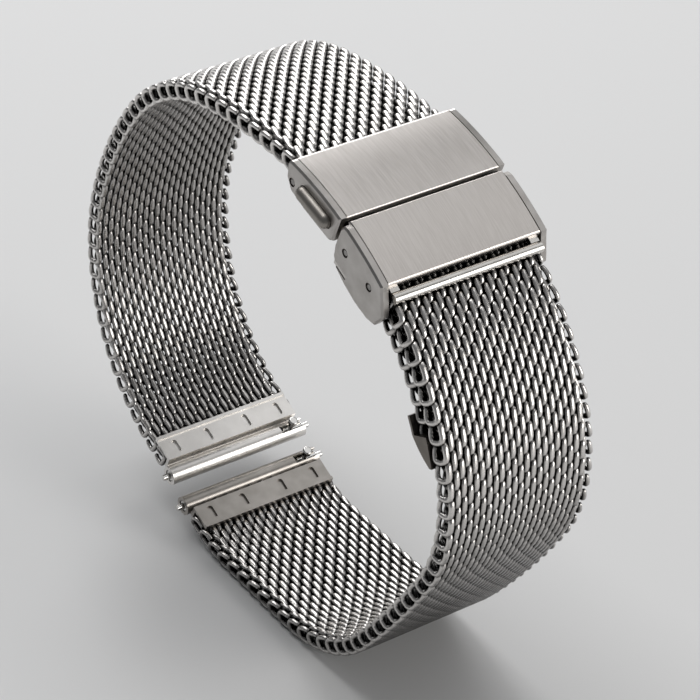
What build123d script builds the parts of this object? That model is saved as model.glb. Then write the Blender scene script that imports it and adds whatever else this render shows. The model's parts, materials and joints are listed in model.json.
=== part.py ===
from build123d import *
import math
import os

os.makedirs("parts", exist_ok=True)

# A closed steel mesh band stands on its curve, with its width along Y.
# X and Z are in the plane of the loop, and the near side of the band is at -Y.

# Mesh strap
band_width = 20.0
mesh_thickness = 2.3
rib_spacing = 2.28
rib_height = 0.45
knuckle_clearance = 0.1
neck_clearance = 0.25

# Route of the lower strap's outer face, from the clasp's mouth to its end
foot_length = 12.6
shin_length = 19.71
lower_turns_deg = [36.7, 50.4, 8.2, 50.2]
heel_length = 6.8
heel_turn_deg = 24.5
lower_end_straight = 1.8

# Route of the upper strap's outer face, from the clasp to its end, left of the lower end and above it
crown_length = 19.17
upper_turn_shares = [0.096, 0.248, 0.127, 0.243, 0.286]
upper_end_straight = 3.0
upper_end_slope_deg = 23.2
end_spread = 6.5
end_rise = 4.1

# Places where the mesh bends, as shares of each route
upper_bend_shares = [0.265, 0.53, 0.79]
lower_bend_shares = [0.24, 0.55, 0.93]

# Clasp covers, along the curve of the covers' top face
clasp_radius = 39.8
upper_cover_length = 10.3
lower_cover_length = 8.5
cover_gap = 0.5
cover_thickness = 0.7
cover_rim = 0.14
cover_edge_round = 0.25
cover_start_round = 0.6
cover_mouth_round = 0.35
upper_mesh_depth = 0.8
lower_mesh_depth = 1.5
mouth_inset = 0.2
cheek_thickness = 0.9
cheek_clearance = 0.05
cheek_bevel = 0.22
cover_lip_bevel = 0.4
upper_cheek_depth = 4.3
lower_cheek_depth = 6.5
lower_cheek_tip_share = 0.11
upper_cheek_tip_share = 0.068
upper_cheek_shares = [(0.042, 0.012), (0.02, 0.048), (0.005, 0.10), (0.0, 0.16), (0.0, 0.52), (0.10, 0.84),
                      (0.40, 0.98), (0.62, 1.0), (0.93, 0.97), (1.0, 0.84)]
lower_cheek_shares = [(1.04, 0.08), (1.30, 0.44), (1.27, 0.79), (1.12, 0.91), (0.80, 1.0), (0.45, 1.0),
                      (0.17, 0.93), (0.04, 0.76), (0.0, 0.55), (0.0, 0.14), (0.04, 0.03)]

# Clasp pins, with their distance from the end of their own cover and their depth
pin_radius = 0.4
pin_clearance = 0.05
pin_recess = 0.08
pin_seat_clearance = 0.01
pin_sink_rim = 0.14
pin_sink_depth = 0.3
strap_pin_reach = 1.2
strap_pin_depth = 2.4
link_pin_reach = 2.0
link_pin_depth = 2.85
fold_pin_reach = 7.15
fold_pin_depth = 2.3

# Folding link
link_thickness = 0.8
link_depth = 3.35
link_side_clearance = 0.2
link_knuckle_radius = 0.9
ear_radius = 0.75
ear_width = 0.85
link_start_reach = 1.9
stud_width = 0.8
stud_height = 0.7
stud_length = 3.0

# Push buttons
button_length = 6.1
button_height = 1.75
button_reach = 6.0
button_depth = 2.25
button_proud = 0.95
button_dome = 0.8
button_clearance = 0.08
button_travel = 0.6
button_collar_rim = 0.4
button_collar_clearance = 0.05
button_collar_thickness = 0.45
button_stem_height = 0.7
button_stem_width = 2.6
button_stem_depth = 1.8
jaw_thickness = 0.8
jaw_height = 1.5
stud_clearance = 0.1
guide_half_width = 3.0
guide_length = 5.0
guide_depth = 3.1
coil_radius = 0.5

# Lower box
fold_start_reach = 5.9
fold_gap = 0.1
floor_thickness = 0.5
floor_start_reach = 0.85
floor_length = 2.9
floor_depth = 5.3
floor_tab_clearance = 0.02
keeper_plate_thickness = 0.6
keeper_plate_length = 2.6
keeper_bar_width = 1.25
keeper_bar_depth = 0.4
keeper_bar_round = 0.4
keeper_bar_back_round = 0.25
keeper_arm_width = 1.1
keeper_gap = 0.65
keeper_side_clearance = 0.3
tail_length = 17.0
tail_clip_length = 2.6
tail_clip_skin = 0.35
tail_clip_cap = 4.0
tail_clip_tip = 0.4
tail_clip_fall_share = 0.35

# End pieces at the watch case
end_plate_length = 3.0
end_plate_width = 18.9
end_plate_thickness = 0.45
end_plate_lip = 0.45
end_plate_rise = 0.2
dimple_length = 1.9
dimple_width = 0.75
dimple_sink = 0.32
dimple_shares = [-0.8, -0.3, 0.3, 0.8]
tube_radius = 1.2
tube_wall = 0.45
tube_end_inset = 0.1
tube_gap = 0.6
tube_inset = 0.05
notch_width = 1.1
notch_clearance = 0.1
bar_radius = 0.65
bar_bore = 0.42
bar_pivot_radius = 0.4
bar_reach = 0.9
bar_end_inset = 0.1
bar_far_end = 5.6
bar_bore_length = 7.6
release_radius = 0.38
release_travel = 1.2
release_place = 8.1
release_collar_reach = 1.0
release_overlap = 2.2
release_stem_radius = 0.3
release_knob_radius = 0.6
release_knob_height = 0.7
release_knob_round = 0.2
release_stem_length = 1.75
release_spring_gap = 0.05
release_spring_clearance = 0.04

# How far cuts run past the surface they cut, and how finely a route is searched for its farthest point
overrun = 2.0
route_samples = 200

half_band = band_width / 2
cheek_inner = half_band + cheek_clearance
cheek_outer = cheek_inner + cheek_thickness


def unit_step(heading, turn):
    """How far a run of unit length goes along X and Z while it turns."""
    if not turn:
        return math.cos(heading), math.sin(heading)
    along = (math.sin(heading + turn) - math.sin(heading)) / turn
    across = (math.cos(heading) - math.cos(heading + turn)) / turn
    return along, across


class Route:
    """A chain of tangent arcs and straight runs along the outer face of a strap.

    Each run has a length and the angle, in radians, that it turns through."""

    def __init__(self, start, heading, side, runs):
        self.start = start
        self.heading = heading
        self.side = side
        self.runs = runs
        self.length = sum(length for length, _ in runs)

    def station(self, distance):
        """The place and heading at a distance along the route."""
        x, z = self.start
        heading = self.heading
        left = distance
        for number, (length, turn) in enumerate(self.runs):
            last = number == len(self.runs) - 1
            step = left if last else min(left, length)
            swing = self.side * turn * step / length
            along, across = unit_step(heading, swing)
            x += step * along
            z += step * across
            heading += swing
            left -= step
            if left <= 0 and not last:
                break
        return x, z, heading

    def spot(self, distance, inset):
        """A point at a distance along the route, set in towards the wrist."""
        x, z, heading = self.station(distance)
        inwards = heading + self.side * math.pi / 2
        return x + inset * math.cos(inwards), z + inset * math.sin(inwards)

    def stops(self, begin, end):
        """The distances where the route's runs meet, between two ends."""
        marks = [begin]
        total = 0
        for length, _ in self.runs:
            total += length
            if begin < total < end:
                marks.append(total)
        return marks + [end]

    def is_straight(self, distance):
        """True where the route is a straight run."""
        total = 0
        for length, turn in self.runs:
            total += length
            if distance < total:
                return not turn
        return not self.runs[-1][1]

    def moved(self, shift):
        """The same route, moved along X."""
        return Route((self.start[0] + shift, self.start[1]), self.heading, self.side, self.runs)


def trace(route, marks, inset):
    """Draws the route's runs through some stops, at one inset."""
    for begin, end in zip(marks, marks[1:]):
        first = route.spot(begin, inset)
        middle = route.spot((begin + end) / 2, inset)
        last = route.spot(end, inset)
        if route.is_straight((begin + end) / 2):
            Line(first, last)
        else:
            ThreePointArc(first, middle, last)


def trace_strip(route, begin, end, inset, depth):
    """Draws the closed edge of a strip along the route."""
    marks = route.stops(begin, end)
    trace(route, marks, inset)
    Line(route.spot(end, inset), route.spot(end, inset + depth))
    trace(route, marks[::-1], inset + depth)
    Line(route.spot(begin, inset + depth), route.spot(begin, inset))


def trace_ribs(route, marks, crest, valley, has_flats):
    """Draws a scalloped face along the route, one rib for each pair of coils.

    With has_flats, the route's straight runs stay plain. A stretch too short for a rib stays plain too."""
    for begin, end in zip(marks, marks[1:]):
        if has_flats and route.is_straight((begin + end) / 2):
            Line(route.spot(begin, valley), route.spot(begin, crest))
            Line(route.spot(begin, crest), route.spot(end, crest))
            Line(route.spot(end, crest), route.spot(end, valley))
            continue
        if abs(end - begin) < 2 * rib_height:
            Line(route.spot(begin, valley), route.spot(end, valley))
            continue
        count = max(1, round(abs(end - begin) / rib_spacing))
        places = [begin + (end - begin) * number / count for number in range(count + 1)]
        for start, finish in zip(places, places[1:]):
            middle = (start + finish) / 2
            ThreePointArc(route.spot(start, valley), route.spot(middle, crest), route.spot(finish, valley))


def trace_mesh(route, begin, end, inset):
    """Draws the closed edge of a stretch of mesh, ribbed on both faces."""
    marks = route.stops(begin, end)
    outer = inset + rib_height
    inner = inset + mesh_thickness - rib_height
    trace_ribs(route, marks, inset, outer, True)
    Line(route.spot(end, outer), route.spot(end, inner))
    trace_ribs(route, marks[::-1], inset + mesh_thickness, inner, False)
    Line(route.spot(begin, inner), route.spot(begin, outer))


def save(builder, name):
    """Labels a finished piece and writes its file."""
    builder.part.label = name
    export_step(builder.part, "parts/" + name + ".step")


# Place of the clasp, worked out from the foot of the loop up its right side
lower_turns = [math.radians(turn) for turn in lower_turns_deg]
climb = Route((0, 0), 0, 1, [(foot_length / 2, 0)] + [(shin_length, turn) for turn in lower_turns[::-1]])
mouth_x, mouth_z, mouth_heading = climb.station(climb.length)
mouth_normal = (math.sin(mouth_heading), -math.cos(mouth_heading))
lower_mesh_radius = clasp_radius - lower_mesh_depth
upper_mesh_radius = clasp_radius - upper_mesh_depth
centre_x = mouth_x - lower_mesh_radius * mouth_normal[0]
centre_z = mouth_z - lower_mesh_radius * mouth_normal[1]
lower_cover_end = math.atan2(mouth_normal[0], mouth_normal[1]) + mouth_inset / clasp_radius
lower_cover_start = lower_cover_end - lower_cover_length / clasp_radius
upper_cover_end = lower_cover_start - cover_gap / clasp_radius
upper_cover_start = upper_cover_end - upper_cover_length / clasp_radius

# The lower strap runs from the clasp's mouth down to the foot, along it and round the heel
lower_runs = [(shin_length, turn) for turn in lower_turns]
lower_runs += [(foot_length, 0), (heel_length, math.radians(heel_turn_deg)), (lower_end_straight, 0)]
lower_path = Route((mouth_x, mouth_z), mouth_heading + math.pi, -1, lower_runs)
lower_end_x, lower_end_z, _ = lower_path.station(lower_path.length)

# The upper strap's first and third runs take the lengths that bring its end beside the lower end
crown_x = centre_x + upper_mesh_radius * math.sin(upper_cover_start)
crown_z = centre_z + upper_mesh_radius * math.cos(upper_cover_start)
crown_heading = math.pi - upper_cover_start
upper_turn = 2 * math.pi - math.radians(upper_end_slope_deg) - crown_heading
upper_turns = [share * upper_turn for share in upper_turn_shares] + [0]
upper_steps = [unit_step(crown_heading + sum(upper_turns[:number]), turn)
               for number, turn in enumerate(upper_turns)]
upper_lengths = [0, crown_length, 0, crown_length, crown_length, upper_end_straight]
left_x = lower_end_x - end_spread - crown_x - sum(
    length * step[0] for length, step in zip(upper_lengths, upper_steps))
left_z = lower_end_z + end_rise - crown_z - sum(
    length * step[1] for length, step in zip(upper_lengths, upper_steps))
first_step = upper_steps[0]
third_step = upper_steps[2]
slant = first_step[0] * third_step[1] - first_step[1] * third_step[0]
upper_lengths[0] = (left_x * third_step[1] - left_z * third_step[0]) / slant
upper_lengths[2] = (first_step[0] * left_z - first_step[1] * left_x) / slant
upper_path = Route((crown_x, crown_z), crown_heading, 1, list(zip(upper_lengths, upper_turns)))

# Both straps are moved so that the loop's middle is over the origin
sample_shares = [step / route_samples for step in range(route_samples + 1)]
farthest_left = min(upper_path.spot(upper_path.length * share, 0)[0] for share in sample_shares)
farthest_right = max(climb.spot(climb.length * share, 0)[0] for share in sample_shares)
shift = -(farthest_left + farthest_right) / 2
centre_x += shift
upper_route = upper_path.moved(shift)
lower_route = lower_path.moved(shift)
upper_bends = [share * upper_route.length for share in upper_bend_shares]
lower_bends = [share * lower_route.length for share in lower_bend_shares]


def clasp_spot(angle, depth):
    """A point of the clasp at an angle about its centre and a depth under the covers."""
    radius = clasp_radius - depth
    return centre_x + radius * math.sin(angle), centre_z + radius * math.cos(angle)


def trace_clasp_strip(begin, end, shallow, deep):
    """Draws the closed edge of a curved plate of the clasp."""
    middle = (begin + end) / 2
    ThreePointArc(clasp_spot(begin, shallow), clasp_spot(middle, shallow), clasp_spot(end, shallow))
    Line(clasp_spot(end, shallow), clasp_spot(end, deep))
    ThreePointArc(clasp_spot(end, deep), clasp_spot(middle, deep), clasp_spot(begin, deep))
    Line(clasp_spot(begin, deep), clasp_spot(begin, shallow))


def angle_from(angle, reach):
    """An angle of the clasp at a reach along the covers' top from another."""
    return angle + reach / clasp_radius


strap_pin_angle = angle_from(upper_cover_start, strap_pin_reach)
strap_pin_spot = clasp_spot(strap_pin_angle, strap_pin_depth)
link_pin_angle = angle_from(lower_cover_start, link_pin_reach)
link_pin_spot = clasp_spot(link_pin_angle, link_pin_depth)
fold_pin_angle = angle_from(lower_cover_start, fold_pin_reach)
fold_pin_spot = clasp_spot(fold_pin_angle, fold_pin_depth)
button_angle = angle_from(upper_cover_start, button_reach)
button_spot = clasp_spot(button_angle, button_depth)


def turned(angle):
    """The tilt, in degrees, of the clasp's surface at an angle about its centre."""
    return -math.degrees(angle)


def round_edge(builder, spot, radius):
    """Rounds the edge across a plate that passes through a point of the clasp."""
    edges = builder.edges().filter_by(Axis.Y).sort_by_distance((spot[0], 0, spot[1]))
    fillet(edges[0], radius)


# Cover plates, curved, lying between the cheeks with a fine groove along each side
with BuildPart() as upper_cover_plate:
    with BuildSketch(Plane.XZ):
        with BuildLine():
            trace_clasp_strip(upper_cover_start, upper_cover_end, 0, cover_thickness)
        make_face()
    extrude(amount=cheek_inner, both=True)
    top_edges = upper_cover_plate.edges().filter_by(GeomType.CIRCLE).group_by(SortBy.RADIUS)[-1]
    chamfer(top_edges, cover_rim)
    round_edge(upper_cover_plate, clasp_spot(upper_cover_start, 0), cover_start_round)
    round_edge(upper_cover_plate, clasp_spot(upper_cover_end, 0), cover_edge_round)
save(upper_cover_plate, "upper_cover_plate")

with BuildPart() as lower_cover_plate:
    with BuildSketch(Plane.XZ):
        with BuildLine():
            trace_clasp_strip(lower_cover_start, lower_cover_end, 0, cover_thickness)
        make_face()
    extrude(amount=cheek_inner, both=True)
    top_edges = lower_cover_plate.edges().filter_by(GeomType.CIRCLE).group_by(SortBy.RADIUS)[-1]
    chamfer(top_edges, cover_rim)
    lip_x, lip_z = clasp_spot(lower_cover_start, cover_thickness)
    lip_edge = lower_cover_plate.edges().filter_by(Axis.Y).sort_by_distance((lip_x, 0, lip_z))[0]
    chamfer(lip_edge, cover_lip_bevel)
    round_edge(lower_cover_plate, clasp_spot(lower_cover_start, 0), cover_edge_round)
    round_edge(lower_cover_plate, clasp_spot(lower_cover_end, 0), cover_mouth_round)
save(lower_cover_plate, "lower_cover_plate")


def trace_cheek(start, cover_length, depth, first_share, shares):
    """Draws a cheek's closed edge: the covers' curve on top, and straight edges below."""
    begin = angle_from(start, first_share * cover_length)
    end = angle_from(start, cover_length)
    ThreePointArc(clasp_spot(begin, 0), clasp_spot((begin + end) / 2, 0), clasp_spot(end, 0))
    corners = [clasp_spot(angle_from(start, along * cover_length), down * depth) for along, down in shares]
    Polyline([clasp_spot(end, 0)] + corners + [clasp_spot(begin, 0)])


# Cheeks of the upper box, each with the opening for its button and a seat for the strap pin
for side, side_name in ((-1, "near"), (1, "far")):
    with BuildPart() as upper_cheek:
        with BuildSketch(Plane.XZ.offset(-side * cheek_inner)):
            with BuildLine():
                trace_cheek(upper_cover_start, upper_cover_length, upper_cheek_depth,
                            upper_cheek_tip_share, upper_cheek_shares[::-1])
            make_face()
        extrude(amount=-side * cheek_thickness)
        outer_face = upper_cheek.faces().sort_by(Axis.Y)[0 if side < 0 else -1]
        chamfer(outer_face.edges(), cheek_bevel)
        with BuildSketch(Plane.XZ.offset(-side * (cheek_inner - overrun))):
            with Locations(Location(button_spot, turned(button_angle))):
                SlotOverall(button_length + 2 * button_clearance, button_height + 2 * button_clearance)
        extrude(amount=-side * (cheek_thickness + overrun * 2), mode=Mode.SUBTRACT)
        with BuildSketch(Plane.XZ.offset(-side * (cheek_inner - overrun))):
            with Locations(strap_pin_spot):
                Circle(pin_radius + pin_seat_clearance)
        extrude(amount=-side * (cheek_thickness + overrun * 2), mode=Mode.SUBTRACT)
        with BuildSketch(Plane.XZ.offset(-side * (cheek_outer - pin_sink_depth))):
            with Locations(strap_pin_spot):
                Circle(pin_radius + pin_sink_rim)
        extrude(amount=-side * overrun, mode=Mode.SUBTRACT)
    save(upper_cheek, side_name + "_upper_cheek")

# Cheeks of the lower box, with two pin seats and the slit for the floor plate's tab
floor_start = angle_from(lower_cover_start, floor_start_reach)
floor_end = angle_from(floor_start, floor_length)
for side, side_name in ((-1, "near"), (1, "far")):
    with BuildPart() as lower_cheek:
        with BuildSketch(Plane.XZ.offset(-side * cheek_inner)):
            with BuildLine():
                trace_cheek(lower_cover_start, lower_cover_length, lower_cheek_depth,
                            lower_cheek_tip_share, lower_cheek_shares)
            make_face()
        extrude(amount=-side * cheek_thickness)
        outer_face = lower_cheek.faces().sort_by(Axis.Y)[0 if side < 0 else -1]
        chamfer(outer_face.edges(), cheek_bevel)
        with BuildSketch(Plane.XZ.offset(-side * (cheek_inner - overrun))):
            with BuildLine():
                trace_clasp_strip(floor_start, floor_end, floor_depth - floor_tab_clearance,
                                  floor_depth + floor_thickness + floor_tab_clearance)
            make_face()
        extrude(amount=-side * (cheek_thickness + overrun * 2), mode=Mode.SUBTRACT)
        with BuildSketch(Plane.XZ.offset(-side * (cheek_inner - overrun))):
            with Locations(link_pin_spot, fold_pin_spot):
                Circle(pin_radius + pin_seat_clearance)
        extrude(amount=-side * (cheek_thickness + overrun * 2), mode=Mode.SUBTRACT)
        with BuildSketch(Plane.XZ.offset(-side * (cheek_outer - pin_sink_depth))):
            with Locations(link_pin_spot, fold_pin_spot):
                Circle(pin_radius + pin_sink_rim)
        extrude(amount=-side * overrun, mode=Mode.SUBTRACT)
    save(lower_cheek, side_name + "_lower_cheek")

# Clasp pins, pressed into the cheeks just short of their outer faces
pin_spots = {"upper_strap_pin": strap_pin_spot, "link_pin": link_pin_spot, "fold_pin": fold_pin_spot}
for name, spot in pin_spots.items():
    with BuildPart() as pin:
        with BuildSketch(Plane.XZ):
            with Locations(spot):
                Circle(pin_radius)
        extrude(amount=cheek_outer - pin_recess, both=True)
        chamfer(pin.edges().filter_by(GeomType.CIRCLE), pin_recess)
    save(pin, name)

# Floor plate of the lower box, with tabs that pass through the cheeks' slits
with BuildPart() as lower_floor_plate:
    with BuildSketch(Plane.XZ):
        with BuildLine():
            trace_clasp_strip(angle_from(floor_start, floor_tab_clearance),
                              angle_from(floor_end, -floor_tab_clearance),
                              floor_depth, floor_depth + floor_thickness)
        make_face()
    extrude(amount=cheek_outer - pin_recess, both=True)
save(lower_floor_plate, "lower_floor_plate")

# Keeper: a plate welded under the lower cover, with an arm at each end that carries a rounded bar
# across the mouth
keeper_bar_start = angle_from(lower_cover_end, keeper_gap)
keeper_bar_end = angle_from(keeper_bar_start, keeper_bar_width)
keeper_plate_start = angle_from(lower_cover_end, -keeper_plate_length)
keeper_bottom = cover_thickness + keeper_plate_thickness
keeper_half_width = cheek_inner - keeper_side_clearance
with BuildPart() as keeper_bar:
    with BuildSketch(Plane.XZ):
        with BuildLine():
            trace_clasp_strip(keeper_plate_start, lower_cover_end, cover_thickness, keeper_bottom)
        make_face()
        with BuildLine():
            trace_clasp_strip(keeper_bar_start, keeper_bar_end, keeper_bar_depth, keeper_bottom)
        make_face()
    extrude(amount=keeper_half_width, both=True)
    for side in (-1, 1):
        with BuildSketch(Plane.XZ.offset(-side * (keeper_half_width - keeper_arm_width))):
            with BuildLine():
                trace_clasp_strip(keeper_plate_start, keeper_bar_end, cover_thickness, keeper_bottom)
            make_face()
        extrude(amount=-side * keeper_arm_width)
    round_edge(keeper_bar, clasp_spot(keeper_bar_end, keeper_bar_depth), keeper_bar_round)
    round_edge(keeper_bar, clasp_spot(keeper_bar_start, keeper_bar_depth), keeper_bar_back_round)
save(keeper_bar, "keeper_bar")

# Folding link: a curved plate with a barrel on the link pin and two ears on the strap pin
link_start = angle_from(upper_cover_start, link_start_reach)
link_bottom = link_depth + link_thickness
link_half_width = cheek_inner - link_side_clearance
ear_back = angle_from(strap_pin_angle, -ear_radius)
ear_front = angle_from(strap_pin_angle, ear_radius)
stud_start = angle_from(button_angle, -stud_length / 2)
stud_end = angle_from(button_angle, stud_length / 2)
collar_inner = cheek_inner - button_collar_clearance - button_collar_thickness
stud_outer = collar_inner - button_travel - stud_clearance
stud_inner = stud_outer - stud_width
with BuildPart() as folding_link:
    with BuildSketch(Plane.XZ):
        with BuildLine():
            trace_clasp_strip(link_start, link_pin_angle, link_depth, link_bottom)
        make_face()
        with Locations(link_pin_spot):
            Circle(link_knuckle_radius)
    extrude(amount=link_half_width, both=True)
    for side in (-1, 1):
        with BuildSketch(Plane.XZ.offset(-side * (link_half_width - ear_width))):
            with Locations(strap_pin_spot):
                Circle(ear_radius)
            with BuildLine():
                Polyline(clasp_spot(ear_back, strap_pin_depth), clasp_spot(ear_front, strap_pin_depth),
                         clasp_spot(angle_from(ear_front, ear_radius), link_depth),
                         clasp_spot(angle_from(ear_front, ear_radius), link_bottom),
                         clasp_spot(strap_pin_angle, link_bottom), close=True)
            make_face()
        extrude(amount=-side * ear_width)
        with BuildSketch(Plane.XZ.offset(-side * stud_inner)):
            with BuildLine():
                trace_clasp_strip(stud_start, stud_end, link_depth - stud_height, link_depth)
            make_face()
        extrude(amount=-side * stud_width)
    with BuildSketch(Plane.XZ):
        with Locations(link_pin_spot, strap_pin_spot):
            Circle(pin_radius + pin_clearance)
    extrude(amount=half_band, both=True, mode=Mode.SUBTRACT)
save(folding_link, "folding_link")

# Push buttons: a domed head in the cheek's opening, a collar behind it, and a stem with a jaw
button_stem_spot = clasp_spot(button_angle, button_stem_depth)
jaw_outer = stud_inner - stud_clearance
jaw_inner = jaw_outer - jaw_thickness
jaw_spot = clasp_spot(button_angle, button_stem_depth + (jaw_height - button_stem_height) / 2)
for side, side_name in ((-1, "near"), (1, "far")):
    with BuildPart() as push_button:
        with BuildSketch(Plane.XZ.offset(-side * collar_inner)):
            with Locations(Location(button_spot, turned(button_angle))):
                SlotOverall(button_length, button_height)
        extrude(amount=-side * (cheek_outer + button_proud - collar_inner))
        head_face = push_button.faces().sort_by(Axis.Y)[0 if side < 0 else -1]
        fillet(head_face.edges(), button_dome)
        with BuildSketch(Plane.XZ.offset(-side * collar_inner)):
            with Locations(Location(button_spot, turned(button_angle))):
                SlotOverall(button_length + 2 * button_collar_rim, button_height)
        extrude(amount=-side * button_collar_thickness)
        with BuildSketch(Plane.XZ.offset(-side * jaw_inner)):
            with Locations(Location(button_stem_spot, turned(button_angle))):
                Rectangle(button_stem_width, button_stem_height)
        extrude(amount=-side * (collar_inner - jaw_inner))
        with BuildSketch(Plane.XZ.offset(-side * jaw_inner)):
            with Locations(Location(jaw_spot, turned(button_angle))):
                Rectangle(button_stem_width, jaw_height)
        extrude(amount=-side * jaw_thickness)
    save(push_button, side_name + "_push_button")

# Guide block under the upper cover, which the button springs push against
with BuildPart() as button_guide:
    with BuildSketch(Plane.XZ):
        with BuildLine():
            trace_clasp_strip(angle_from(button_angle, -guide_length / 2),
                              angle_from(button_angle, guide_length / 2), cover_thickness, guide_depth)
        make_face()
    extrude(amount=guide_half_width, both=True)
save(button_guide, "button_guide")

# Button springs, drawn at the length they have with the buttons pressed
for side, side_name in ((-1, "near"), (1, "far")):
    with BuildPart() as button_spring:
        with BuildSketch(Plane.XZ.offset(-side * guide_half_width)):
            with Locations(button_stem_spot):
                Circle(coil_radius)
        extrude(amount=-side * (jaw_inner - button_travel - button_collar_clearance - guide_half_width))
    save(button_spring, side_name + "_button_spring")

# Upper strap: the first stretch is threaded on the strap pin between the link's ears
upper_neck_end = angle_from(strap_pin_angle, strap_pin_reach)
with BuildPart() as upper_mesh_1:
    with BuildSketch(Plane.XZ):
        with BuildLine():
            trace_mesh(upper_route, 0, upper_bends[0], 0)
        make_face()
        with Locations(upper_route.spot(upper_bends[0], mesh_thickness / 2)):
            Circle(mesh_thickness / 2)
    extrude(amount=half_band, both=True)
    with BuildSketch(Plane.XZ):
        with BuildLine():
            trace_clasp_strip(upper_cover_start, upper_neck_end, upper_mesh_depth,
                              upper_mesh_depth + mesh_thickness)
        make_face()
    extrude(amount=link_half_width - ear_width - neck_clearance, both=True)
    with BuildSketch(Plane.XZ):
        with Locations(strap_pin_spot):
            Circle(pin_radius + pin_seat_clearance)
    extrude(amount=half_band, both=True, mode=Mode.SUBTRACT)
save(upper_mesh_1, "upper_mesh_1")


def make_stretch(route, begin, end, last):
    """A stretch of mesh, hollowed at its start round the one before, and round at its end."""
    with BuildPart() as stretch:
        with BuildSketch(Plane.XZ):
            with BuildLine():
                trace_mesh(route, begin, end, 0)
            make_face()
            if not last:
                with Locations(route.spot(end, mesh_thickness / 2)):
                    Circle(mesh_thickness / 2)
            with Locations(route.spot(begin, mesh_thickness / 2)):
                Circle(mesh_thickness / 2 + knuckle_clearance, mode=Mode.SUBTRACT)
        extrude(amount=half_band, both=True)
    return stretch


for number, begin in enumerate(upper_bends):
    last = number == len(upper_bends) - 1
    end = upper_route.length if last else upper_bends[number + 1]
    save(make_stretch(upper_route, begin, end, last), f"upper_mesh_{number + 2}")
for number, begin in enumerate(lower_bends):
    last = number == len(lower_bends) - 1
    end = lower_route.length if last else lower_bends[number + 1]
    save(make_stretch(lower_route, begin, end, last), f"lower_mesh_{number + 2}")

# Lower strap: the first stretch folds back in the box and returns as a tail under itself
fold_start = angle_from(lower_cover_start, fold_start_reach)
mouth_angle = angle_from(lower_cover_end, -mouth_inset)
fold_middle_depth = lower_mesh_depth + mesh_thickness + fold_gap / 2
tail_depth = lower_mesh_depth + mesh_thickness + fold_gap
tail_inset = mesh_thickness + fold_gap
with BuildPart() as lower_mesh_1:
    with BuildSketch(Plane.XZ):
        with BuildLine():
            trace_mesh(lower_route, 0, lower_bends[0], 0)
        make_face()
        with BuildLine():
            trace_mesh(lower_route, 0, tail_length, tail_inset)
        make_face()
        with BuildLine():
            trace_clasp_strip(fold_start, mouth_angle, lower_mesh_depth, lower_mesh_depth + mesh_thickness)
        make_face()
        with BuildLine():
            trace_clasp_strip(fold_start, mouth_angle, tail_depth, tail_depth + mesh_thickness)
        make_face()
        with Locations(clasp_spot(fold_start, fold_middle_depth)):
            Circle(mesh_thickness + fold_gap / 2)
        with Locations(lower_route.spot(lower_bends[0], mesh_thickness / 2)):
            Circle(mesh_thickness / 2)
    extrude(amount=half_band, both=True)
    with BuildSketch(Plane.XZ):
        with Locations(fold_pin_spot):
            Circle(pin_radius + pin_seat_clearance)
    extrude(amount=half_band, both=True, mode=Mode.SUBTRACT)
save(lower_mesh_1, "lower_mesh_1")

# Clip that closes the tail's end: a skin along its inner face, and a cap that tapers towards the strap
clip_end = tail_length + tail_clip_cap
clip_depth = mesh_thickness + tail_clip_skin
clip_middle_depth = clip_depth - tail_clip_fall_share * (clip_depth - tail_clip_tip)
with BuildPart() as tail_clip:
    with BuildSketch(Plane.XZ):
        with BuildLine():
            trace_strip(lower_route, tail_length - tail_clip_length, tail_length,
                        tail_inset + mesh_thickness, tail_clip_skin)
        make_face()
        with BuildLine():
            trace(lower_route, lower_route.stops(tail_length, clip_end), tail_inset)
            Line(lower_route.spot(clip_end, tail_inset),
                 lower_route.spot(clip_end, tail_inset + tail_clip_tip))
            ThreePointArc(lower_route.spot(clip_end, tail_inset + tail_clip_tip),
                          lower_route.spot((tail_length + clip_end) / 2, tail_inset + clip_middle_depth),
                          lower_route.spot(tail_length, tail_inset + clip_depth))
            Line(lower_route.spot(tail_length, tail_inset + clip_depth),
                 lower_route.spot(tail_length, tail_inset))
        make_face()
    extrude(amount=half_band, both=True)
save(tail_clip, "tail_clip")

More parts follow.
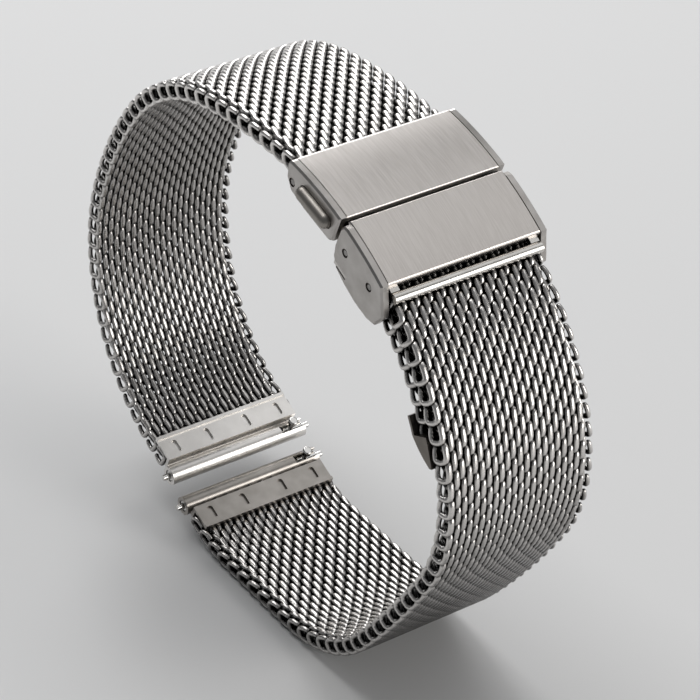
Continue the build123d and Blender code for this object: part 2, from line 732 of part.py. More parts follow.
# End pieces: a lipped plate on the inner face of the mesh, which steps down past the mesh's end
# and is rolled into a tube for the spring bar
tube_half = half_band - tube_end_inset
tube_bore = tube_radius - tube_wall
bar_bore_start = bar_far_end - bar_bore_length
release_start = bar_far_end - release_overlap
for name, route in (("upper", upper_route), ("lower", lower_route)):
    tube_place = route.length + tube_gap + tube_radius
    tube_centre_inset = tube_inset + tube_radius
    tube_spot = route.spot(tube_place, tube_centre_inset)
    plate_start = route.length - end_plate_length
    step_end = route.length + end_plate_thickness
    web_inset = tube_centre_inset - end_plate_thickness / 2
    plate_top = mesh_thickness + end_plate_thickness
    inner_spot = route.spot(tube_place, tube_centre_inset + tube_radius)
    inward = ((inner_spot[0] - tube_spot[0]) / tube_radius, 0, (inner_spot[1] - tube_spot[1]) / tube_radius)
    with BuildPart() as end_piece:
        with BuildSketch(Plane.XZ):
            with BuildLine():
                trace_strip(route, plate_start, step_end, mesh_thickness, end_plate_thickness)
            make_face()
            with BuildLine():
                trace_strip(route, plate_start, plate_start + end_plate_lip, mesh_thickness,
                            end_plate_thickness + end_plate_rise)
            make_face()
            with BuildLine():
                trace_strip(route, route.length, step_end, web_inset, mesh_thickness - web_inset)
            make_face()
            with BuildLine():
                trace_strip(route, route.length, tube_place, web_inset, end_plate_thickness)
            make_face()
        extrude(amount=end_plate_width / 2, both=True)
        with BuildSketch(Plane.XZ):
            with Locations(tube_spot):
                Circle(tube_radius)
        extrude(amount=tube_half, both=True)
        with BuildSketch(Plane.XZ):
            with Locations(tube_spot):
                Circle(tube_bore)
        extrude(amount=tube_half, both=True, mode=Mode.SUBTRACT)
        dimple_place = (plate_start + end_plate_lip + step_end) / 2
        dimple_spot = route.spot(dimple_place, plate_top)
        dimple_foot = route.spot(dimple_place, mesh_thickness)
        dimple_out = ((dimple_spot[0] - dimple_foot[0]) / end_plate_thickness, 0,
                      (dimple_spot[1] - dimple_foot[1]) / end_plate_thickness)
        dimple_plane = Plane(origin=(dimple_spot[0], 0, dimple_spot[1]), x_dir=(0, 1, 0), z_dir=dimple_out)
        with BuildSketch(dimple_plane):
            with Locations(*[(share * end_plate_width / 2, 0) for share in dimple_shares]):
                SlotOverall(dimple_length, dimple_width, rotation=90)
        extrude(amount=-dimple_sink, mode=Mode.SUBTRACT)
        notch_start = release_place - release_travel - release_stem_radius - notch_clearance
        notch_plane = Plane(origin=(tube_spot[0], 0, tube_spot[1]), x_dir=(0, 1, 0), z_dir=inward)
        with BuildSketch(notch_plane):
            with Locations(((notch_start + half_band + overrun) / 2, 0)):
                Rectangle(half_band + overrun - notch_start, notch_width)
        extrude(amount=tube_radius + overrun, mode=Mode.SUBTRACT)
    save(end_piece, name + "_end_piece")

    with BuildPart() as spring_bar:
        with BuildSketch(Plane.XZ.offset(-bar_far_end)):
            with Locations(tube_spot):
                Circle(bar_radius)
        extrude(amount=bar_far_end + tube_half - bar_end_inset)
        with BuildSketch(Plane.XZ.offset(tube_half - bar_end_inset)):
            with Locations(tube_spot):
                Circle(bar_pivot_radius)
        extrude(amount=bar_end_inset + bar_reach)
        with BuildSketch(Plane.XZ.offset(-bar_far_end)):
            with Locations(tube_spot):
                Circle(bar_bore)
        extrude(amount=bar_bore_length, mode=Mode.SUBTRACT)
    save(spring_bar, name + "_spring_bar")

    with BuildPart() as release_pin:
        with BuildSketch(Plane.XZ.offset(-release_start)):
            with Locations(tube_spot):
                Circle(release_radius)
        extrude(amount=-(tube_half + bar_reach - release_start))
        with BuildSketch(Plane.XZ.offset(-(release_place - release_collar_reach))):
            with Locations(tube_spot):
                Circle(bar_radius)
        extrude(amount=-(tube_half - bar_end_inset - release_place + release_collar_reach))
        with BuildSketch(Plane(origin=(tube_spot[0], release_place, tube_spot[1]), z_dir=inward)):
            Circle(release_stem_radius)
        extrude(amount=release_stem_length)
        knob_spot = route.spot(tube_place, tube_centre_inset + release_stem_length)
        knob_top = route.spot(tube_place, tube_centre_inset + release_stem_length + release_knob_height)
        with BuildSketch(Plane(origin=(knob_spot[0], release_place, knob_spot[1]), z_dir=inward)):
            Circle(release_knob_radius)
        extrude(amount=release_knob_height)
        knob_face = release_pin.faces().sort_by_distance((knob_top[0], release_place, knob_top[1]))[0]
        fillet(knob_face.edges(), release_knob_round)
    save(release_pin, name + "_release_pin")

    with BuildPart() as bar_spring:
        with BuildSketch(Plane.XZ.offset(-bar_bore_start)):
            with Locations(tube_spot):
                Circle(bar_bore - release_spring_clearance)
        extrude(amount=-(release_start - release_travel - release_spring_gap - bar_bore_start))
    save(bar_spring, name + "_bar_spring")
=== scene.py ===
import json
import math
import bmesh
import bpy
import numpy as np
from mathutils import Matrix, Vector


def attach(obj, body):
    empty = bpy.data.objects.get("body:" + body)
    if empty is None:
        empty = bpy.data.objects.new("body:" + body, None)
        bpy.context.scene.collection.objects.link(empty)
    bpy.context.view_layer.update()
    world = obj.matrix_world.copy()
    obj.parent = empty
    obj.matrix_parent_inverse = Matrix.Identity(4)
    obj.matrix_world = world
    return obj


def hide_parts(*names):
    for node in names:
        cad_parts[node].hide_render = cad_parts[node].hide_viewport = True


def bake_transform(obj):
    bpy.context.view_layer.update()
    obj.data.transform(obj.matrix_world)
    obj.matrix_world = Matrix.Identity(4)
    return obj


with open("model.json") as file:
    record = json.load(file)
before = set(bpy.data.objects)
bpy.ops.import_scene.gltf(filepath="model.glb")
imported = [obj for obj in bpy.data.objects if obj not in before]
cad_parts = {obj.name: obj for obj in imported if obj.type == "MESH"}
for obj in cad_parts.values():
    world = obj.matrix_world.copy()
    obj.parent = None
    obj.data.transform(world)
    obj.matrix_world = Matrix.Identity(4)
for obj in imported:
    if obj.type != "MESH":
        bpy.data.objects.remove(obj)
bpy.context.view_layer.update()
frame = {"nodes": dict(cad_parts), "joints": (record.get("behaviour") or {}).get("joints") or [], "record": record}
nodes = frame["nodes"]

# Sizes are in millimetres, as in the part's source, and turn into metres where a mesh is made.
MM = 0.001

# Woven wire: coils across the band, ground flat on both faces
band_width = 20.0
mesh_thickness = 2.3
wire_radius = 0.35
outer_flat = 0.15
inner_flat = 0.18
coil_spacing = 1.14
coil_turns = 11
end_margin = coil_spacing / 4
steps_per_turn = 18
wire_sides = 10

# A coil: its reach along the strap, its uneven steps across, how broad its crests are, its lean in the upper strap
coil_reach = 1.08
coil_wave = 0.42
face_power = 0.55
side_power = 0.85
upper_lean = -0.13

# Hooks at a coil's ends, smaller, finer and tucked in
hook_turns = 0.36
hook_shrink = 0.15
hook_taper = 0.22
hook_tuck = 0.35
cap_reach = 0.2

# Route of the lower strap's outer face
foot_length = 12.6
shin_length = 19.71
lower_turns_deg = [36.7, 50.4, 8.2, 50.2]
heel_length = 6.8
heel_turn_deg = 24.5
lower_end_straight = 1.8

# Route of the upper strap's outer face
crown_length = 19.17
upper_turn_shares = [0.096, 0.248, 0.127, 0.243, 0.286]
upper_end_straight = 3.0
upper_end_slope_deg = 23.2
end_spread = 6.5
end_rise = 4.1

# Places where the mesh bends, as shares of each route, and how far the bend reaches to each side
upper_bend_shares = [0.265, 0.53, 0.79]
lower_bend_shares = [0.24, 0.55, 0.93]
bend_reach = 4.0

# Clasp
clasp_radius = 39.8
upper_cover_length = 10.3
lower_cover_length = 8.5
cover_gap = 0.5
upper_mesh_depth = 0.8
lower_mesh_depth = 1.5
mouth_inset = 0.2
strap_pin_reach = 1.2
strap_pin_depth = 2.4
neck_half_width = 8.75

# Fold of the lower strap round its pin, and its tail, whose middle lies one and a half layers in
fold_start_reach = 5.9
fold_gap = 0.1
fold_swing_deg = 50
tail_length = 17.0
tail_half_width = 9.6
tail_inset = mesh_thickness * 1.5 + fold_gap

# Keeper, with its reaches from the lower cover's end
cover_thickness = 0.7
keeper_plate_thickness = 0.6
keeper_plate_length = 2.6
keeper_bar_width = 1.25
keeper_bar_depth = 0.4
keeper_bar_swell = 0.5
keeper_bar_steps = 16
keeper_arm_width = 1.1
keeper_gap = 0.65
keeper_half_width = 9.75
sharp_angle_deg = 35


def unit_step(heading, turn):
    """How far a run of unit length goes along X and Z while it turns."""
    if not turn:
        return math.cos(heading), math.sin(heading)
    end = heading + turn
    return (math.sin(end) - math.sin(heading)) / turn, (math.cos(heading) - math.cos(end)) / turn


class Route:
    """A chain of tangent arcs and straight runs along the outer face of a strap."""

    def __init__(self, start, heading, side, runs):
        self.start = start
        self.heading = heading
        self.side = side
        self.runs = runs
        self.length = sum(length for length, _ in runs)

    def station(self, distance):
        """The place and heading at a distance along the route."""
        x, z = self.start
        heading = self.heading
        left = distance
        for number, (length, turn) in enumerate(self.runs):
            last = number == len(self.runs) - 1
            step = left if last else min(left, length)
            swing = self.side * turn * step / length
            along, across = unit_step(heading, swing)
            x += step * along
            z += step * across
            heading += swing
            left -= step
            if left <= 0 and not last:
                break
        return x, z, heading

    def spot(self, distance, inset):
        """A point at a distance along the route, set in towards the wrist."""
        x, z, heading = self.station(distance)
        inwards = heading + self.side * math.pi / 2
        return x + inset * math.cos(inwards), z + inset * math.sin(inwards)


# The routes follow the part's source: the right side climbs from the foot to the clasp's mouth
lower_turns = [math.radians(turn) for turn in lower_turns_deg]
climb = Route((0, 0), 0, 1, [(foot_length / 2, 0)] + [(shin_length, turn) for turn in lower_turns[::-1]])
mouth_x, mouth_z, mouth_heading = climb.station(climb.length)
mouth_normal = (math.sin(mouth_heading), -math.cos(mouth_heading))
lower_mesh_radius = clasp_radius - lower_mesh_depth
upper_mesh_radius = clasp_radius - upper_mesh_depth
centre_x = mouth_x - lower_mesh_radius * mouth_normal[0]
centre_z = mouth_z - lower_mesh_radius * mouth_normal[1]
mouth_angle = math.atan2(mouth_normal[0], mouth_normal[1])
lower_cover_end = mouth_angle + mouth_inset / clasp_radius
lower_cover_start = lower_cover_end - lower_cover_length / clasp_radius
upper_cover_end = lower_cover_start - cover_gap / clasp_radius
upper_cover_start = upper_cover_end - upper_cover_length / clasp_radius
lower_runs = [(shin_length, turn) for turn in lower_turns]
lower_runs += [(foot_length, 0), (heel_length, math.radians(heel_turn_deg)), (lower_end_straight, 0)]
lower_path = Route((mouth_x, mouth_z), mouth_heading + math.pi, -1, lower_runs)
lower_end_x, lower_end_z, _ = lower_path.station(lower_path.length)

# Two of the upper route's lengths are worked out, so that its end comes beside the lower one's
crown_x = centre_x + upper_mesh_radius * math.sin(upper_cover_start)
crown_z = centre_z + upper_mesh_radius * math.cos(upper_cover_start)
crown_heading = math.pi - upper_cover_start
upper_turn = 2 * math.pi - math.radians(upper_end_slope_deg) - crown_heading
upper_turns = [share * upper_turn for share in upper_turn_shares] + [0]
upper_headings = [crown_heading + sum(upper_turns[:number]) for number in range(len(upper_turns))]
upper_steps = [unit_step(heading, turn) for heading, turn in zip(upper_headings, upper_turns)]
upper_lengths = [0, crown_length, 0, crown_length, crown_length, upper_end_straight]
left_x = lower_end_x - end_spread - crown_x - sum(
    length * step[0] for length, step in zip(upper_lengths, upper_steps))
left_z = lower_end_z + end_rise - crown_z - sum(
    length * step[1] for length, step in zip(upper_lengths, upper_steps))
first_step = upper_steps[0]
third_step = upper_steps[2]
slant = first_step[0] * third_step[1] - first_step[1] * third_step[0]
upper_lengths[0] = (left_x * third_step[1] - left_z * third_step[0]) / slant
upper_lengths[2] = (first_step[0] * left_z - first_step[1] * left_x) / slant

# The source shifts the whole part along X. How far is read from the place of one joint in the frame
joints = {joint["name"]: joint for joint in frame["joints"]}
bend_x, _ = lower_path.spot(lower_bend_shares[1] * lower_path.length, mesh_thickness / 2)
shift = joints["lower_bend_2"]["pos_m"][0] / MM - bend_x
centre_x += shift
lower_route = Route((mouth_x + shift, mouth_z), mouth_heading + math.pi, -1, lower_runs)
upper_route = Route((crown_x + shift, crown_z), crown_heading, 1, list(zip(upper_lengths, upper_turns)))
upper_bends = [share * upper_route.length for share in upper_bend_shares]
lower_bends = [share * lower_route.length for share in lower_bend_shares]


def clasp_spot(angle, depth):
    """A point of the clasp at an angle about its centre and a depth under the covers."""
    radius = clasp_radius - depth
    return centre_x + radius * math.sin(angle), centre_z + radius * math.cos(angle)


def shaped(wave, power):
    """A wave with its crests made broader by a power below one."""
    return np.sign(wave) * np.abs(wave) ** power


def coil_line(odd, half_width, lean=0.0):
    """One coil as (along, across, outward) from its middle, with the wire's radius at each point.

    The wire is hooked round at both ends, where the hooks are a little smaller and finer, and tucked in."""
    reach_y = half_width - wire_radius
    turns = round(coil_turns * half_width / (band_width / 2))
    pitch = 2 * reach_y / (turns + 0.5)
    whole = turns * 2 * math.pi
    hook = hook_turns * 2 * math.pi
    steps = int(round((turns + 2 * hook_turns) * steps_per_turn))
    angle = np.linspace(-hook, whole + hook, steps + 1)
    held = np.clip(angle, 0, whole)
    # From nought a quarter turn before a hook to one at the wire's tip
    quarter = math.pi / 2
    ending = np.clip((quarter - np.minimum(angle, whole - angle)) / (quarter + hook), 0, 1)
    size = 1 - hook_shrink * ending * ending * (3 - 2 * ending)
    along = size * coil_reach * shaped(np.cos(angle), side_power)
    across = -reach_y + pitch * (held + coil_wave * np.sin(2 * held)) / (2 * math.pi) + lean * along
    past = (held - angle) / hook
    across += hook_tuck * past * np.abs(past)
    if odd:
        across += pitch / 2
    flats = np.where(np.sin(angle) > 0, outer_flat, inner_flat)
    outward = size * (mesh_thickness / 2 - wire_radius + flats) * shaped(np.sin(angle), face_power)
    return np.stack([along, across, outward, wire_radius * (1 - hook_taper * ending)], 1)


def coil_shape(coil):
    """A round wire along a coil's centre line, ground flat on both faces: its points and its faces."""
    line = coil[:, :3]
    radius = coil[:, 3][:, None, None]
    tangent = np.gradient(line, axis=0)
    tangent /= np.linalg.norm(tangent, axis=1)[:, None]
    outward = line * (1, 0, 1)
    outward -= tangent * np.sum(outward * tangent, axis=1)[:, None]
    outward /= np.linalg.norm(outward, axis=1)[:, None]
    sideways = np.cross(tangent, outward)
    turn = np.linspace(0, 2 * math.pi, wire_sides, endpoint=False)[None, :, None]
    rings = line[:, None] + radius * (np.cos(turn) * outward[:, None] + np.sin(turn) * sideways[:, None])
    caps = np.stack([line[0] - tangent[0] * cap_reach, line[-1] + tangent[-1] * cap_reach])
    points = np.concatenate([rings.reshape(-1, 3), caps])
    points[:, 2] = np.clip(points[:, 2], -mesh_thickness / 2, mesh_thickness / 2)
    first_ring = np.arange(wire_sides)
    beside = np.roll(first_ring, -1)
    last_ring = (len(line) - 1) * wire_sides
    faces = []
    for start in range(0, last_ring, wire_sides):
        faces += np.stack([first_ring + start, beside + start, beside + start + wire_sides,
                           first_ring + start + wire_sides], 1).tolist()
    first_cap = last_ring + wire_sides
    sides = list(zip(first_ring.tolist(), beside.tolist()))
    faces += [[after, before, first_cap] for before, after in sides]
    faces += [[last_ring + before, last_ring + after, first_cap + 1] for before, after in sides]
    return points, faces


def place_coil(shape, middle, heading, side):
    """Puts a coil at a place of the loop, lined up with its heading there."""
    points, faces = shape
    x, z = middle
    outwards = heading - side * math.pi / 2
    placed = np.stack([x + points[:, 0] * math.cos(heading) + points[:, 2] * math.cos(outwards),
                       -side * points[:, 1],
                       z + points[:, 0] * math.sin(heading) + points[:, 2] * math.sin(outwards)], 1)
    return placed, faces


def add_piece(name, mesh):
    """Makes a smoothly shaded piece of a mesh."""
    mesh.polygons.foreach_set("use_smooth", [True] * len(mesh.polygons))
    mesh.update()
    piece = bpy.data.objects.new(name, mesh)
    bpy.context.scene.collection.objects.link(piece)
    return piece


def wire_mesh(name, coils):
    """Makes one piece of several placed coils."""
    points = np.concatenate([placed for placed, _ in coils]) * MM
    faces = []
    count = 0
    for placed, coil_faces in coils:
        faces += [[corner + count for corner in face] for face in coil_faces]
        count += len(placed)
    mesh = bpy.data.meshes.new(name)
    mesh.from_pydata(points.tolist(), [], faces)
    return add_piece(name, mesh)


def strap_coils(route, shapes, begin, end, inset=mesh_thickness / 2):
    """The coils of a strap whose middles lie between two distances along its route."""
    coils = []
    number = math.ceil(begin / coil_spacing - 0.5)
    while (number + 0.5) * coil_spacing < end:
        distance = (number + 0.5) * coil_spacing
        heading = route.station(distance)[2]
        coils.append(place_coil(shapes[number % 2], route.spot(distance, inset), heading, route.side))
        number += 1
    return coils


def make_weave(name, route, shapes, reach, bend, replaced, extra=()):
    """A stretch of weave about one of the mesh's hinges, in place of the nodes that it hides."""
    piece = wire_mesh(name, list(extra) + strap_coils(route, shapes, *reach))
    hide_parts(*replaced)
    before_x, before_z = route.spot(bend - bend_reach, mesh_thickness / 2)
    after_x, after_z = route.spot(bend + bend_reach, mesh_thickness / 2)
    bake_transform(piece)
    return piece


def weave_reaches(route, bends):
    """Where each of a strap's three stretches of weave begins and ends: half way between its bends."""
    cuts = [0, (bends[0] + bends[1]) / 2, (bends[1] + bends[2]) / 2, route.length - end_margin]
    return list(zip(cuts, cuts[1:]))


def clasp_bars(name, bars):
    """Makes one piece of straight bars across the clasp, each a profile of reaches and depths."""
    points = []
    faces = []
    for profile, begin, end in bars:
        first = len(points)
        count = len(profile)
        for across in (begin, end):
            for reach, depth in profile:
                x, z = clasp_spot(lower_cover_end + reach / clasp_radius, depth)
                points.append((x * MM, across * MM, z * MM))
        for number in range(count):
            beside = (number + 1) % count
            faces.append((first + number, first + beside, first + count + beside, first + count + number))
        faces.append(tuple(range(first + count - 1, first - 1, -1)))
        faces.append(tuple(range(first + count, first + 2 * count)))
    mesh = bpy.data.meshes.new(name)
    mesh.from_pydata(points, [], faces)
    shell = bmesh.new()
    shell.from_mesh(mesh)
    bmesh.ops.recalc_face_normals(shell, faces=shell.faces)
    shell.to_mesh(mesh)
    shell.free()
    piece = add_piece(name, mesh)
    mesh.set_sharp_from_angle(angle=math.radians(sharp_angle_deg))
    return piece


# Coils of each strap, every second one shifted by half a turn
lower_coils = [coil_shape(coil_line(odd, band_width / 2)) for odd in (False, True)]
upper_coils = [coil_shape(coil_line(odd, band_width / 2, upper_lean)) for odd in (False, True)]
tail_coils = [coil_shape(coil_line(odd, tail_half_width)) for odd in (False, True)]

# Coils inside the clasp: one round the strap pin, and the lower strap's fold round its pin
neck_coil = coil_shape(coil_line(False, neck_half_width))
strap_pin_angle = upper_cover_start + strap_pin_reach / clasp_radius
neck_middle = clasp_spot(strap_pin_angle, strap_pin_depth)
neck_coils = [place_coil(neck_coil, neck_middle, -strap_pin_angle, 1)]
fold_coils = []
fold_middle_depth = lower_mesh_depth + mesh_thickness + fold_gap / 2
fold_start = lower_cover_start + fold_start_reach / clasp_radius
coil_angle = coil_spacing / clasp_radius
fold_reach = mesh_thickness / 2 + fold_gap / 2
for layer in (-1, 1):
    angle = mouth_angle - coil_angle / 2
    number = 1
    while angle > fold_start:
        middle = clasp_spot(angle, fold_middle_depth + layer * fold_reach)
        fold_coils.append(place_coil(lower_coils[number % 2], middle, math.pi - angle, 1))
        angle -= coil_angle
        number += 1
fold_x, fold_z = clasp_spot(fold_start, fold_middle_depth)
for swing in (-fold_swing_deg, 0, fold_swing_deg):
    heading = math.pi - fold_start + math.radians(swing)
    middle = (fold_x + fold_reach * math.cos(heading), fold_z + fold_reach * math.sin(heading))
    fold_coils.append(place_coil(lower_coils[1 if swing else 0], middle, heading + math.pi / 2, 1))

# Keeper: a plate under the lower cover, two arms and a half-round bar across the mouth
keeper_bottom = cover_thickness + keeper_plate_thickness
bar_middle = keeper_gap + keeper_bar_width / 2
bar_profile = [(bar_middle - keeper_bar_width / 2 * math.cos(math.pi * step / keeper_bar_steps),
                keeper_bar_depth + keeper_bar_swell * (1 - math.sin(math.pi * step / keeper_bar_steps)))
               for step in range(keeper_bar_steps + 1)]
bar_profile += [(keeper_gap + keeper_bar_width, keeper_bottom), (keeper_gap, keeper_bottom)]
plate_profile = [(-keeper_plate_length, cover_thickness), (0, cover_thickness),
                 (0, keeper_bottom), (-keeper_plate_length, keeper_bottom)]
arm_profile = [(0, cover_thickness), (keeper_gap, cover_thickness),
               (keeper_gap, keeper_bottom), (0, keeper_bottom)]
keeper_inner = keeper_half_width - keeper_arm_width
keeper = clasp_bars("keeper",
                    [(bar_profile, -keeper_half_width, keeper_half_width),
                     (plate_profile, -keeper_half_width, keeper_half_width),
                     (arm_profile, -keeper_half_width, -keeper_inner),
                     (arm_profile, keeper_inner, keeper_half_width)])
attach(keeper, "lower_box")
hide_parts("keeper_bar")

# The weave of both straps, each in three stretches, and the tail's
upper_reaches = weave_reaches(upper_route, upper_bends)
lower_reaches = weave_reaches(lower_route, lower_bends)
weaves = [
    make_weave("upper_weave_1", upper_route, upper_coils, upper_reaches[0], upper_bends[0],
               ["upper_mesh_1"], neck_coils),
    make_weave("upper_weave_2", upper_route, upper_coils, upper_reaches[1], upper_bends[1],
               ["upper_mesh_2"]),
    make_weave("upper_weave_3", upper_route, upper_coils, upper_reaches[2], upper_bends[2],
               ["upper_mesh_3", "upper_mesh_4"]),
    make_weave("lower_weave_1", lower_route, lower_coils, lower_reaches[0], lower_bends[0],
               ["lower_mesh_1"], fold_coils),
    make_weave("lower_weave_2", lower_route, lower_coils, lower_reaches[1], lower_bends[1],
               ["lower_mesh_2"]),
    make_weave("lower_weave_3", lower_route, lower_coils, lower_reaches[2], lower_bends[2],
               ["lower_mesh_3", "lower_mesh_4"]),
]
tail_weave = wire_mesh("tail_weave", strap_coils(lower_route, tail_coils, 0, tail_length - end_margin, tail_inset))
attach(tail_weave, "lower_box")
weaves.append(tail_weave)

# Textures lie on each object's own coordinates in metres, with the scales of their waves per metre
noise_detail = 3.0
grain_detail = 4.0
tint_places = (0.3, 0.7)
wire_cloud_scale = 260.0
wire_mark_scale = 9000.0
satin_cloud_scale = 500.0
satin_mark_scale = 14000.0
grain_scales = (350.0, 8000.0, 350.0)
grain_anisotropy = 0.6

# Bumps, each with its strength and height in metres
wire_bump = (0.15, 0.00002)
grain_bump = (0.22, 0.00003)
satin_bump = (0.12, 0.00002)

# Painted shade on the wire, darker where other surfaces lie close: reach in metres, openness at the darkest and at
# the full tint, and the share of the tint that is left at the darkest
# Painted shade in the narrow gaps between wires and under the clasp
painted_gap_shade = (0.0014, 0.24, 0.82, 0.05)
# Painted shade over the inside of the loop, where the straps and the floor lie near
painted_loop_shade = (0.08, 0.25, 0.9, 0.15)
painted_shade_samples = 8

# Looks of the metals: dark tint, light tint and range of roughness
wire_look = ((0.70, 0.675, 0.65), (0.84, 0.815, 0.79), (0.20, 0.34))
cover_look = ((0.51, 0.48, 0.455), (0.60, 0.57, 0.545), (0.26, 0.42))
satin_looks = {
    "cheek_steel": ((0.39, 0.37, 0.35), (0.49, 0.47, 0.45), (0.24, 0.36)),
    "polished_steel": ((0.66, 0.65, 0.63), (0.78, 0.77, 0.75), (0.08, 0.16)),
    "plate_steel": ((0.56, 0.54, 0.51), (0.66, 0.64, 0.61), (0.22, 0.32)),
    "spring_steel": ((0.30, 0.30, 0.31), (0.40, 0.40, 0.41), (0.25, 0.35)),
    "button_steel": ((0.28, 0.26, 0.24), (0.36, 0.34, 0.31), (0.36, 0.46)),
    # Pins painted darker, for the shade of the recesses and the clasp where they sit
    "painted_shade_pin_steel": ((0.24, 0.23, 0.22), (0.32, 0.31, 0.30), (0.28, 0.38)),
    "clip_steel": ((0.15, 0.135, 0.12), (0.22, 0.20, 0.18), (0.32, 0.42)),
    "bar_steel": ((0.60, 0.58, 0.55), (0.70, 0.68, 0.65), (0.20, 0.30)),
    # Both end pieces are of one steel: the upper one's tints carry painted light, the lower one's painted shade
    "painted_light_plate_steel": ((0.70, 0.68, 0.655), (0.78, 0.76, 0.735), (0.28, 0.38)),
    "painted_shade_plate_steel": ((0.33, 0.31, 0.285), (0.42, 0.395, 0.37), (0.28, 0.38)),
}

# Nodes whose metal isn't the one named like their slot
node_looks = {
    "near_push_button": "button_steel",
    "far_push_button": "button_steel",
    # The pins' darker metal is painted shade
    "upper_strap_pin": "painted_shade_pin_steel",
    "link_pin": "painted_shade_pin_steel",
    "fold_pin": "painted_shade_pin_steel",
    "tail_clip": "clip_steel",
    # Painted light on the upper end piece and painted shade on the lower one
    "upper_end_piece": "painted_light_plate_steel",
    "lower_end_piece": "painted_shade_plate_steel",
}


def new_metal(name):
    """A metal material with its shader node, ready for detail."""
    material = bpy.data.materials.new(name)
    material.use_nodes = True
    shader = material.node_tree.nodes["Principled BSDF"]
    shader.inputs["Metallic"].default_value = 1.0
    return material, material.node_tree, shader


def add_noise(tree, scale, stretch=(1, 1, 1), turn=0.0, detail=noise_detail):
    """A noise texture on the object's own coordinates, stretched and turned about Y."""
    place = tree.nodes.new("ShaderNodeTexCoord")
    mapping = tree.nodes.new("ShaderNodeMapping")
    mapping.inputs["Rotation"].default_value = (0, turn, 0)
    mapping.inputs["Scale"].default_value = stretch
    noise = tree.nodes.new("ShaderNodeTexNoise")
    noise.inputs["Scale"].default_value = scale
    noise.inputs["Detail"].default_value = detail
    tree.links.new(place.outputs["Object"], mapping.inputs["Vector"])
    tree.links.new(mapping.outputs["Vector"], noise.inputs["Vector"])
    return noise


def add_tint(tree, shader, source, dark, light):
    """Colours the shader between two tints by a texture."""
    ramp = tree.nodes.new("ShaderNodeValToRGB")
    for element, tint, place in zip(ramp.color_ramp.elements, (dark, light), tint_places):
        element.color = (*tint, 1)
        element.position = place
    tree.links.new(source.outputs["Fac"], ramp.inputs["Fac"])
    tree.links.new(ramp.outputs["Color"], shader.inputs["Base Color"])


def add_roughness(tree, shader, source, low, high):
    """Roughens the shader between two values by a texture."""
    step = tree.nodes.new("ShaderNodeMapRange")
    step.inputs["To Min"].default_value = low
    step.inputs["To Max"].default_value = high
    tree.links.new(source.outputs["Fac"], step.inputs["Value"])
    tree.links.new(step.outputs["Result"], shader.inputs["Roughness"])


def add_bump(tree, shader, source, strength, height):
    """Bumps the shader's normal by a texture."""
    bump = tree.nodes.new("ShaderNodeBump")
    bump.inputs["Strength"].default_value = strength
    bump.inputs["Distance"].default_value = height
    tree.links.new(source.outputs["Fac"], bump.inputs["Height"])
    tree.links.new(bump.outputs["Normal"], shader.inputs["Normal"])


def add_painted_shade(tree, shader, reach, low, high, darkest):
    """Paints shade into the shader's colour, darker where other surfaces lie close."""
    closeness = tree.nodes.new("ShaderNodeAmbientOcclusion")
    closeness.samples = painted_shade_samples
    closeness.inputs["Distance"].default_value = reach
    shade = tree.nodes.new("ShaderNodeMapRange")
    shade.inputs["From Min"].default_value = low
    shade.inputs["From Max"].default_value = high
    shade.inputs["To Min"].default_value = darkest
    tree.links.new(closeness.outputs["AO"], shade.inputs["Value"])
    mix = tree.nodes.new("ShaderNodeMix")
    mix.data_type = "RGBA"
    mix.blend_type = "MULTIPLY"
    # The mix node's colours come after its numbers and vectors
    factor, color, shaded, result = mix.inputs[0], mix.inputs[6], mix.inputs[7], mix.outputs[2]
    factor.default_value = 1.0
    tint = shader.inputs["Base Color"].links[0].from_socket
    tree.links.new(tint, color)
    tree.links.new(shade.outputs["Result"], shaded)
    # The painted shade multiplies the tint
    tree.links.new(result, shader.inputs["Base Color"])


def wire_material(name, dark, light, roughness):
    """Drawn stainless wire: bright, with faint cloudiness and fine draw marks, and with painted shade in its gaps
    and over the inside of the loop.
    """
    material, tree, shader = new_metal(name)
    cloud = add_noise(tree, wire_cloud_scale)
    marks = add_noise(tree, wire_mark_scale)
    add_tint(tree, shader, cloud, dark, light)
    # Painted shade: the tint darkened in the wire's gaps and inside the loop
    add_painted_shade(tree, shader, *painted_gap_shade)
    add_painted_shade(tree, shader, *painted_loop_shade)
    add_roughness(tree, shader, marks, *roughness)
    add_bump(tree, shader, marks, *wire_bump)
    return material


def brushed_material(name, tilt, dark, light, roughness):
    """Sheet metal with a brushed grain along the band, lying at a tilt about the clasp's centre."""
    material, tree, shader = new_metal(name)
    grain = add_noise(tree, 1.0, grain_scales, -tilt, grain_detail)
    add_tint(tree, shader, grain, dark, light)
    add_roughness(tree, shader, grain, *roughness)
    add_bump(tree, shader, grain, *grain_bump)
    shader.inputs["Anisotropic"].default_value = grain_anisotropy
    tangent = tree.nodes.new("ShaderNodeTangent")
    tangent.direction_type = "RADIAL"
    tangent.axis = "Y"
    tree.links.new(tangent.outputs["Tangent"], shader.inputs["Tangent"])
    return material


def satin_material(name, dark, light, roughness):
    """Sheet or turned metal with a soft, slightly uneven shine."""
    material, tree, shader = new_metal(name)
    cloud = add_noise(tree, satin_cloud_scale)
    marks = add_noise(tree, satin_mark_scale)
    add_tint(tree, shader, cloud, dark, light)
    add_roughness(tree, shader, marks, *roughness)
    add_bump(tree, shader, marks, *satin_bump)
    return material


def dress(name, material):
    """Gives a CAD node its material."""
    node = nodes[name]
    node.data.materials.clear()
    node.data.materials.append(material)


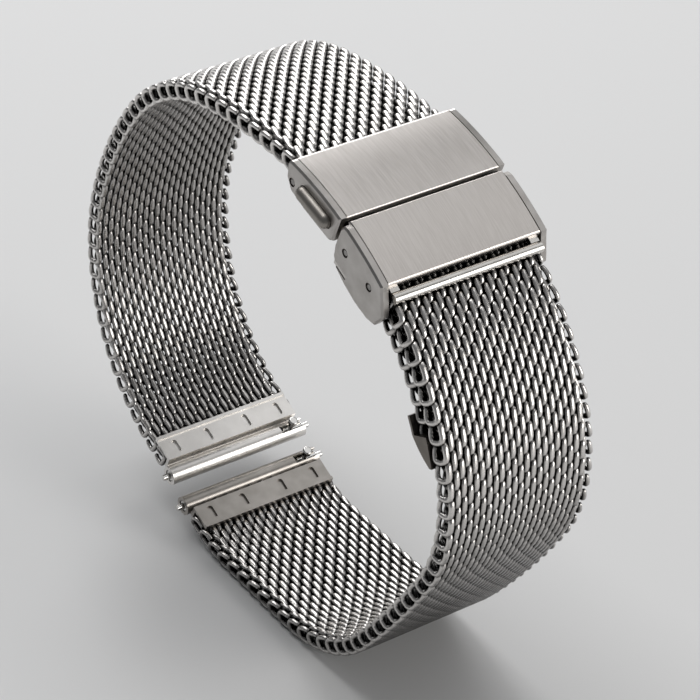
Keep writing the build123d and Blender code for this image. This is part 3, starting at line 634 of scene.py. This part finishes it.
wire_steel = wire_material("wire_steel", *wire_look)
for piece in weaves:
    piece.data.materials.append(wire_steel)
upper_tilt = (upper_cover_start + upper_cover_end) / 2
lower_tilt = (lower_cover_start + lower_cover_end) / 2
dress("upper_cover_plate", brushed_material("upper_cover_steel", upper_tilt, *cover_look))
dress("lower_cover_plate", brushed_material("lower_cover_steel", lower_tilt, *cover_look))
satins = {name: satin_material(name, *look) for name, look in satin_looks.items()}
keeper.data.materials.append(satins["bar_steel"])
for subpart in frame["record"]["subparts"]:
    look = node_looks.get(subpart["node"], subpart["material_slot"])
    if look in satins:
        dress(subpart["node"], satins[look])

# Plain pale floor, soft studio light and a pale surrounding
floor_size = 3.0
floor_drop = 0.00005
floor_color = (0.72, 0.72, 0.72)
floor_roughness = 0.9
world_color = (0.9, 0.92, 0.95)
world_strength = 0.18
lamp_target = (0, 0, 0.033)

# Lamps: place, side length, power and colour
lamps = {
    "key": ((-0.32, 0.02, 0.60), 0.40, 2.2, (1, 1, 1)),
    "window": ((-0.62, 0.36, 0.36), 0.36, 1.9, (1, 1, 1)),
    "sky": ((0.05, 0.42, 0.80), 0.60, 0.8, (1, 1, 1)),
    "side": ((0.60, 0.36, 0.20), 0.45, 2.7, (1.0, 0.98, 0.95)),
}

bpy.ops.mesh.primitive_plane_add(size=floor_size, location=(0, 0, -floor_drop))
floor = bpy.context.object
floor.name = "floor"
floor_material = bpy.data.materials.new("floor_paper")
floor_material.use_nodes = True
floor_shader = floor_material.node_tree.nodes["Principled BSDF"]
floor_shader.inputs["Base Color"].default_value = (*floor_color, 1)
floor_shader.inputs["Roughness"].default_value = floor_roughness
floor.data.materials.append(floor_material)

world = bpy.data.worlds.new("studio")
world.use_nodes = True
bpy.context.scene.world = world
background = world.node_tree.nodes["Background"]
background.inputs["Color"].default_value = (*world_color, 1)
background.inputs["Strength"].default_value = world_strength

for name, (place, size, power, color) in lamps.items():
    light = bpy.data.lights.new(name, "AREA")
    light.shape = "SQUARE"
    light.size = size
    light.energy = power
    light.color = color
    holder = bpy.data.objects.new(name, light)
    holder.location = place
    holder.rotation_euler = (Vector(lamp_target) - Vector(place)).to_track_quat("-Z", "Y").to_euler()
    bpy.context.scene.collection.objects.link(holder)

# Camera at the photograph's place: position in metres, direction, roll and lens
camera_place = (0.23298, -0.16058, 0.22327)
camera_azimuth_deg = 54.78
camera_elevation_deg = 33.92
camera_roll_deg = 1.51
camera_lens = 149.5
sensor_width = 36.0
clip_start = 0.01
camera_data = bpy.data.cameras.new("camera")
camera_data.lens = camera_lens
camera_data.sensor_width = sensor_width
camera_data.clip_start = clip_start
camera = bpy.data.objects.new("camera", camera_data)
azimuth = math.radians(camera_azimuth_deg)
elevation = math.radians(camera_elevation_deg)
back = Vector((math.sin(azimuth) * math.cos(elevation),
               -math.cos(azimuth) * math.cos(elevation),
               math.sin(elevation)))
right = Vector((math.cos(azimuth), math.sin(azimuth), 0))
up = back.cross(right)
roll = math.radians(camera_roll_deg)
rolled_right = right * math.cos(roll) + up * math.sin(roll)
rolled_up = up * math.cos(roll) - right * math.sin(roll)
turn_matrix = Matrix((rolled_right, rolled_up, back)).transposed()
camera.matrix_world = Matrix.Translation(camera_place) @ turn_matrix.to_4x4()
bpy.context.scene.collection.objects.link(camera)
bpy.context.scene.camera = camera
bpy.context.scene.view_settings.view_transform = "Standard"
